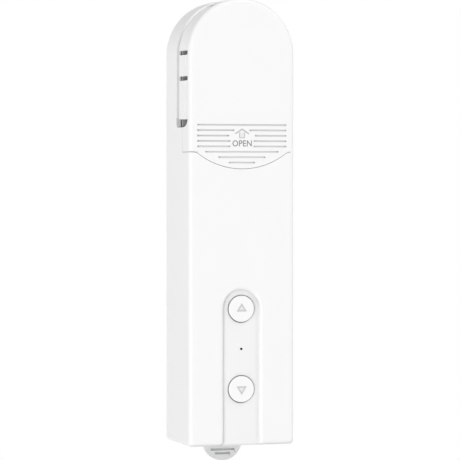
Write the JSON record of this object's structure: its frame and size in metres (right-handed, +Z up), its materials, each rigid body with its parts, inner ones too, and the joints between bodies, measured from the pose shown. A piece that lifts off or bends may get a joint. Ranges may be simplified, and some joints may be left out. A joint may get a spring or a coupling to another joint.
{
  "type": "roller shade motor",
  "caption": "Battery chain drive for a roller shade: tall white housing with a round head, sliding cover over a bead sprocket, two round buttons, release tab and wall plate.",
  "frame": {"origin": "on the wall plane, midway between the two screws of the wall plate", "axes": "+X to the right seen from the front, -Y out of the wall towards the front, +Z up"},
  "size_m": [0.052, 0.0378, 0.22],
  "materials": {
    "white_shell": "fine satin moulding",
    "white_button": "fine satin moulding",
    "grey_tab": "satin moulding",
    "bracket_plastic": "matt moulding",
    "frame_plastic": "matt moulding",
    "sprocket_plastic": "acetal",
    "gear_plastic": "acetal",
    "black_plastic": "matt moulding",
    "shaft_steel": "ground",
    "screw_steel": "zinc plated",
    "motor_steel": "plated can",
    "bush_brass": "turned",
    "nickel": "nickel plate",
    "cell_wrap": "shrink film",
    "board_laminate": "solder mask",
    "light_guide": "tinted clear moulding"
  },
  "bodies": {
    "wall_bracket": {"wall_plate": "bracket_plastic"},
    "drive_unit": {"main_housing": "white_shell", "rear_cover": "white_shell", "rear_cover_screws": "screw_steel", "gearbox_plate": "frame_plastic", "gearbox_screws": "screw_steel", "chain_guide": "frame_plastic", "guide_screws": "screw_steel", "front_bearing": "shaft_steel", "rear_bush": "bush_brass", "second_gear_pin": "shaft_steel", "first_gear_pin": "shaft_steel", "motor_can": "motor_steel", "motor_end_cap": "black_plastic", "motor_screws": "screw_steel", "battery_cell_left": "cell_wrap", "battery_cell_right": "cell_wrap", "battery_frames": "black_plastic", "battery_strips": "nickel", "circuit_board": "board_laminate", "board_screws": "screw_steel", "push_switches": "black_plastic", "light_guide": "light_guide", "status_lamp": "white_button", "charging_socket": "nickel", "radio_module": "nickel", "motor_driver": "black_plastic", "board_connectors": "frame_plastic", "tab_retainer": "frame_plastic", "tab_spring": "shaft_steel"},
    "cover": {"gear_cover": "white_shell"},
    "output": {"bead_sprocket": "sprocket_plastic", "sprocket_screw": "screw_steel", "output_shaft": "shaft_steel", "output_gear": "gear_plastic"},
    "second_reduction": {"second_gear": "gear_plastic"},
    "first_reduction": {"first_gear": "gear_plastic"},
    "rotor": {"motor_shaft": "shaft_steel", "motor_pinion": "bush_brass"},
    "up_key": {"up_button": "white_button", "up_switch_plunger": "black_plastic"},
    "down_key": {"down_button": "white_button", "down_switch_plunger": "black_plastic"},
    "release": {"release_tab": "grey_tab"}
  },
  "joints": [
    {"name": "height_adjust", "type": "slide", "parent": "wall_bracket", "child": "drive_unit", "axis": [0, 0, 1], "range_m": [0, 0.025]},
    {"name": "cover_slide", "type": "slide", "parent": "drive_unit", "child": "cover", "axis": [0, 0, 1], "range_m": [0, 0.0641]},
    {"name": "up_press", "type": "slide", "parent": "drive_unit", "child": "up_key", "axis": [0, 1, 0], "range_m": [0, 0.0005], "stiffness_N_per_m": 3000},
    {"name": "down_press", "type": "slide", "parent": "drive_unit", "child": "down_key", "axis": [0, 1, 0], "range_m": [0, 0.0005], "stiffness_N_per_m": 3000},
    {"name": "release_press", "type": "slide", "parent": "drive_unit", "child": "release", "axis": [0, 0, 1], "range_m": [0, 0.005], "stiffness_N_per_m": 300, "deforming": ["tab_spring"]},
    {"name": "sprocket_spin", "type": "hinge", "parent": "drive_unit", "child": "output", "pos_m": [0, -0.0274, 0.116], "axis": [0, -1, 0], "continuous": true},
    {"name": "second_gear_spin", "type": "hinge", "parent": "drive_unit", "child": "second_reduction", "pos_m": [0.0031, -0.0194, 0.0922], "axis": [0, -1, 0], "continuous": true},
    {"name": "first_gear_spin", "type": "hinge", "parent": "drive_unit", "child": "first_reduction", "pos_m": [-0.005, -0.0194, 0.07479], "axis": [0, -1, 0], "continuous": true},
    {"name": "rotor_spin", "type": "hinge", "parent": "drive_unit", "child": "rotor", "pos_m": [0, -0.0194, 0.0575], "axis": [0, -1, 0], "continuous": true}
  ],
  "couplings": [
    {"joint": "second_gear_spin", "follows": "sprocket_spin", "ratio": -3},
    {"joint": "first_gear_spin", "follows": "sprocket_spin", "ratio": 9},
    {"joint": "rotor_spin", "follows": "sprocket_spin", "ratio": -36}
  ]
}
